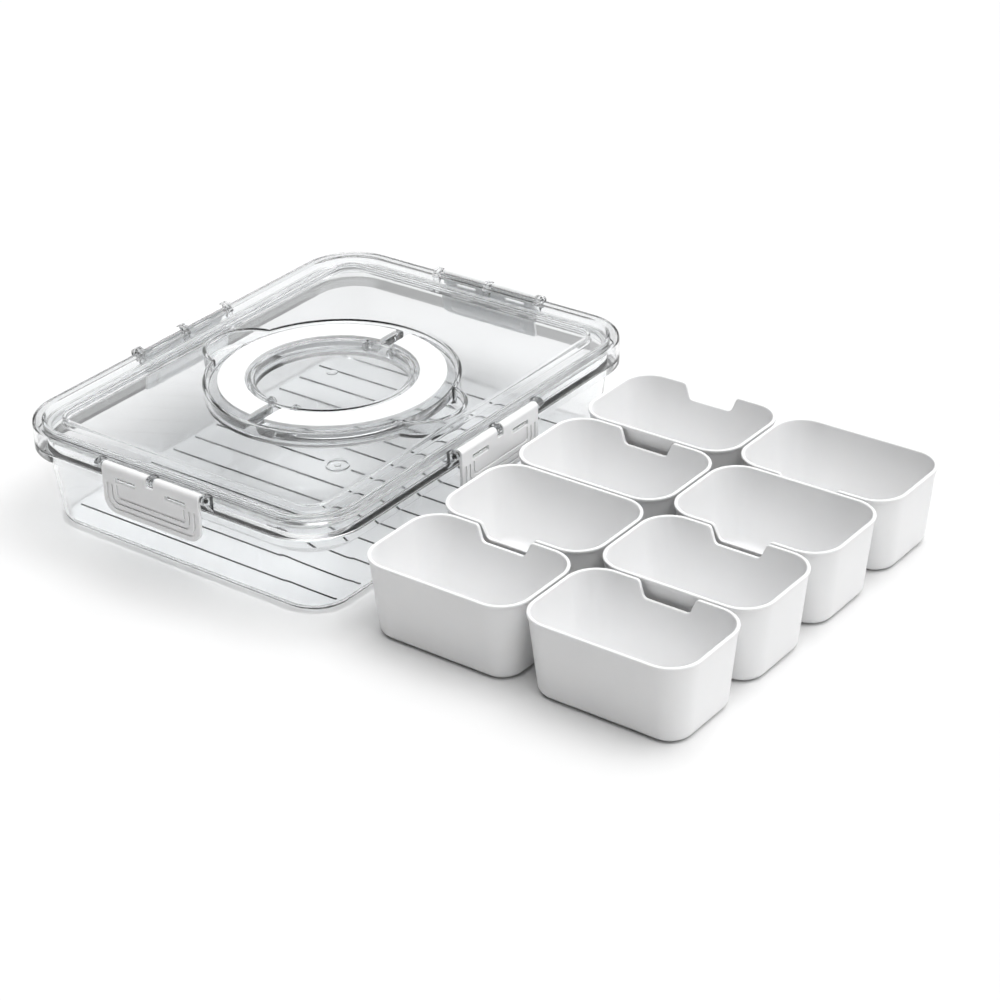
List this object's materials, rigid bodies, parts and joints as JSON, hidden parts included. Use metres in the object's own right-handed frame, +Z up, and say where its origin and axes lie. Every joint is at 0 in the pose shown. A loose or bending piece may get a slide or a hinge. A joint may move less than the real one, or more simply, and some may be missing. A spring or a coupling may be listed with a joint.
{
  "type": "parts organizer",
  "caption": "Clear plastic carrying case with side latches, a gasketed lid and a folding ring handle, beside a block of open white bins with finger notches.",
  "frame": {"origin": "centre of the carrying case's flat base, on the surface it stands on", "axes": "+Z up; +X along the case's short side towards the block of bins; +Y along the case's long side, away from the front latch"},
  "size_m": [0.4896, 0.3378, 0.0697],
  "materials": {
    "clear_plastic": "clear, polished, faintly cool grey at its edges",
    "silicone": "soft translucent gasket, satin",
    "white_plastic": "white moulded plastic, soft satin sheen"
  },
  "bodies": {
    "case": {"tub": "clear_plastic"},
    "lid": {"lid": "clear_plastic", "lid_seal": "silicone"},
    "latch_front": {"latch_front": "white_plastic"},
    "latch_back": {"latch_back": "white_plastic"},
    "latch_left": {"latch_left": "white_plastic"},
    "latch_right": {"latch_right": "white_plastic"},
    "handle_left": {"handle_frame_left": "clear_plastic", "handle_grip_left": "white_plastic"},
    "handle_right": {"handle_frame_right": "clear_plastic", "handle_grip_right": "white_plastic"},
    "bin_near_1": {"bin_near_1": "white_plastic"},
    "bin_near_2": {"bin_near_2": "white_plastic"},
    "bin_near_3": {"bin_near_3": "white_plastic"},
    "bin_near_4": {"bin_near_4": "white_plastic"},
    "bin_far_1": {"bin_far_1": "white_plastic"},
    "bin_far_2": {"bin_far_2": "white_plastic"},
    "bin_far_3": {"bin_far_3": "white_plastic"},
    "bin_far_4": {"bin_far_4": "white_plastic"}
  },
  "joints": [
    {"name": "lid_lift", "type": "slide", "parent": "case", "child": "lid", "axis": [0, 0, 1], "range_m": [0, 0.12]},
    {"name": "latch_front_swing", "type": "hinge", "parent": "lid", "child": "latch_front", "pos_m": [0, -0.1659, 0.0662], "axis": [-1, 0, 0], "range_deg": [0, 130]},
    {"name": "latch_back_swing", "type": "hinge", "parent": "lid", "child": "latch_back", "pos_m": [0, 0.1659, 0.0662], "axis": [1, 0, 0], "range_deg": [0, 130]},
    {"name": "latch_left_swing", "type": "hinge", "parent": "lid", "child": "latch_left", "pos_m": [-0.1284, 0, 0.0662], "axis": [0, 1, 0], "range_deg": [0, 130]},
    {"name": "latch_right_swing", "type": "hinge", "parent": "lid", "child": "latch_right", "pos_m": [0.1284, 0, 0.0662], "axis": [0, -1, 0], "range_deg": [0, 9]},
    {"name": "handle_left_fold", "type": "hinge", "parent": "lid", "child": "handle_left", "pos_m": [-0.01, 0, 0.065], "axis": [0, 1, 0], "range_deg": [0, 93]},
    {"name": "handle_right_fold", "type": "hinge", "parent": "lid", "child": "handle_right", "pos_m": [0.01, 0, 0.065], "axis": [0, -1, 0], "range_deg": [0, 93]},
    {"name": "bin_near_1_lift", "type": "slide", "parent": "case", "child": "bin_near_1", "axis": [0, 0, 1], "range_m": [0, 0.08]},
    {"name": "bin_near_2_lift", "type": "slide", "parent": "case", "child": "bin_near_2", "axis": [0, 0, 1], "range_m": [0, 0.08]},
    {"name": "bin_near_3_lift", "type": "slide", "parent": "case", "child": "bin_near_3", "axis": [0, 0, 1], "range_m": [0, 0.08]},
    {"name": "bin_near_4_lift", "type": "slide", "parent": "case", "child": "bin_near_4", "axis": [0, 0, 1], "range_m": [0, 0.08]},
    {"name": "bin_far_1_lift", "type": "slide", "parent": "case", "child": "bin_far_1", "axis": [0, 0, 1], "range_m": [0, 0.08]},
    {"name": "bin_far_2_lift", "type": "slide", "parent": "case", "child": "bin_far_2", "axis": [0, 0, 1], "range_m": [0, 0.08]},
    {"name": "bin_far_3_lift", "type": "slide", "parent": "case", "child": "bin_far_3", "axis": [0, 0, 1], "range_m": [0, 0.08]},
    {"name": "bin_far_4_lift", "type": "slide", "parent": "case", "child": "bin_far_4", "axis": [0, 0, 1], "range_m": [0, 0.08]}
  ]
}
